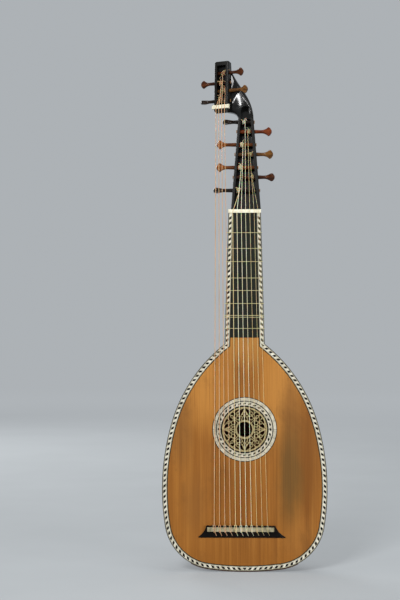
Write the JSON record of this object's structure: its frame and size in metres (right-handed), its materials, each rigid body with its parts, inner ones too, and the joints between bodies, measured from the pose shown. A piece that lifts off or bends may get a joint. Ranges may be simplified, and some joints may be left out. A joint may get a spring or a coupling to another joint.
{
  "type": "theorbo",
  "caption": "Plucked lute with a ribbed bowl, a pierced rose, a fretted neck and a second pegbox on a swan neck for its long bass strings.",
  "frame": {"origin": "the soundboard face at the middle of the tail", "axes": "+Z along the neck, +Y from the soundboard to the back of the bowl, +X to the treble side"},
  "size_m": [0.2926, 0.1348, 0.9064],
  "materials": {
    "soundboard_wood": "satin",
    "rose_wood": "satin",
    "bowl_wood": "gloss",
    "inner_wood": "matte",
    "ebony": "gloss",
    "bone": "satin",
    "peg_wood": "gloss",
    "string_gut": "satin",
    "fret_gut": "satin",
    "nail_iron": "matte"
  },
  "bodies": {
    "instrument": {"bridge": "ebony", "bridge_cap": "bone", "ebony_inlay": "ebony", "edging": "bone", "end_clasp": "bowl_wood", "end_liner": "inner_wood", "fingerboard": "ebony", "neck": "ebony", "neck_block": "inner_wood", "neck_nail": "nail_iron", "nut": "bone", "pegbox_back": "ebony", "pegbox_cheek_bass": "ebony", "pegbox_cheek_treble": "ebony", "rib_1": "bowl_wood", "rib_2": "bowl_wood", "rib_3": "bowl_wood", "rib_4": "bowl_wood", "rib_5": "bowl_wood", "rib_6": "bowl_wood", "rib_7": "bowl_wood", "rib_8": "bowl_wood", "rib_9": "bowl_wood", "rose": "rose_wood", "rose_rings": "bone", "soundboard": "soundboard_wood", "soundboard_bars": "inner_wood", "string_1": "string_gut", "string_10": "string_gut", "string_11": "string_gut", "string_2": "string_gut", "string_3": "string_gut", "string_4": "string_gut", "string_5": "string_gut", "string_6": "string_gut", "string_7": "string_gut", "string_8": "string_gut", "string_9": "string_gut", "swan_neck": "ebony", "upper_nut": "bone", "upper_pegbox": "ebony"},
    "peg_1": {"peg_1": "peg_wood"},
    "peg_2": {"peg_2": "peg_wood"},
    "peg_3": {"peg_3": "peg_wood"},
    "peg_4": {"peg_4": "peg_wood"},
    "peg_5": {"peg_5": "peg_wood"},
    "peg_6": {"peg_6": "peg_wood"},
    "peg_7": {"peg_7": "peg_wood"},
    "peg_8": {"peg_8": "peg_wood"},
    "peg_9": {"peg_9": "peg_wood"},
    "peg_10": {"peg_10": "peg_wood"},
    "peg_11": {"peg_11": "peg_wood"},
    "fret_1": {"fret_1": "fret_gut"},
    "fret_2": {"fret_2": "fret_gut"},
    "fret_3": {"fret_3": "fret_gut"},
    "fret_4": {"fret_4": "fret_gut"},
    "fret_5": {"fret_5": "fret_gut"},
    "fret_6": {"fret_6": "fret_gut"},
    "fret_7": {"fret_7": "fret_gut"},
    "fret_8": {"fret_8": "fret_gut"}
  },
  "joints": [
    {"name": "peg_1_turn", "type": "hinge", "parent": "instrument", "child": "peg_1", "pos_m": [0.02403, 0.02144, 0.69884], "axis": [1, 0, 0], "continuous": true},
    {"name": "peg_2_turn", "type": "hinge", "parent": "instrument", "child": "peg_2", "pos_m": [0.02082, 0.02873, 0.7402], "axis": [1, 0, 0], "continuous": true},
    {"name": "peg_3_turn", "type": "hinge", "parent": "instrument", "child": "peg_3", "pos_m": [0.0176, 0.03603, 0.78156], "axis": [1, 0, 0], "continuous": true},
    {"name": "peg_4_turn", "type": "hinge", "parent": "instrument", "child": "peg_4", "pos_m": [-0.01184, 0.03912, 0.79909], "axis": [-1, 0, 0], "continuous": true},
    {"name": "peg_5_turn", "type": "hinge", "parent": "instrument", "child": "peg_5", "pos_m": [-0.01505, 0.03182, 0.75773], "axis": [-1, 0, 0], "continuous": true},
    {"name": "peg_6_turn", "type": "hinge", "parent": "instrument", "child": "peg_6", "pos_m": [-0.01827, 0.02453, 0.71637], "axis": [-1, 0, 0], "continuous": true},
    {"name": "peg_7_turn", "type": "hinge", "parent": "instrument", "child": "peg_7", "pos_m": [-0.02148, 0.01724, 0.675], "axis": [-1, 0, 0], "continuous": true},
    {"name": "peg_8_turn", "type": "hinge", "parent": "instrument", "child": "peg_8", "pos_m": [-0.02658, 0.00859, 0.85191], "axis": [0.9411, -0.3353, 0.0431], "continuous": true},
    {"name": "peg_9_turn", "type": "hinge", "parent": "instrument", "child": "peg_9", "pos_m": [-0.02617, 0.01393, 0.88447], "axis": [0.9411, -0.3353, 0.0431], "continuous": true},
    {"name": "peg_10_turn", "type": "hinge", "parent": "instrument", "child": "peg_10", "pos_m": [-0.05124, 0.01988, 0.86567], "axis": [-0.9411, 0.3353, -0.0431], "continuous": true},
    {"name": "peg_11_turn", "type": "hinge", "parent": "instrument", "child": "peg_11", "pos_m": [-0.05165, 0.01454, 0.83311], "axis": [-0.9411, 0.3353, -0.0431], "continuous": true},
    {"name": "fret_1_slide", "type": "slide", "parent": "instrument", "child": "fret_1", "axis": [0, 0, 1], "range_m": [-0.002, 0.004]},
    {"name": "fret_2_slide", "type": "slide", "parent": "instrument", "child": "fret_2", "axis": [0, 0, 1], "range_m": [-0.002, 0.004]},
    {"name": "fret_3_slide", "type": "slide", "parent": "instrument", "child": "fret_3", "axis": [0, 0, 1], "range_m": [-0.002, 0.004]},
    {"name": "fret_4_slide", "type": "slide", "parent": "instrument", "child": "fret_4", "axis": [0, 0, 1], "range_m": [-0.002, 0.004]},
    {"name": "fret_5_slide", "type": "slide", "parent": "instrument", "child": "fret_5", "axis": [0, 0, 1], "range_m": [-0.002, 0.004]},
    {"name": "fret_6_slide", "type": "slide", "parent": "instrument", "child": "fret_6", "axis": [0, 0, 1], "range_m": [-0.002, 0.004]},
    {"name": "fret_7_slide", "type": "slide", "parent": "instrument", "child": "fret_7", "axis": [0, 0, 1], "range_m": [-0.002, 0.004]},
    {"name": "fret_8_slide", "type": "slide", "parent": "instrument", "child": "fret_8", "axis": [0, 0, 1], "range_m": [-0.002, 0.004]}
  ]
}
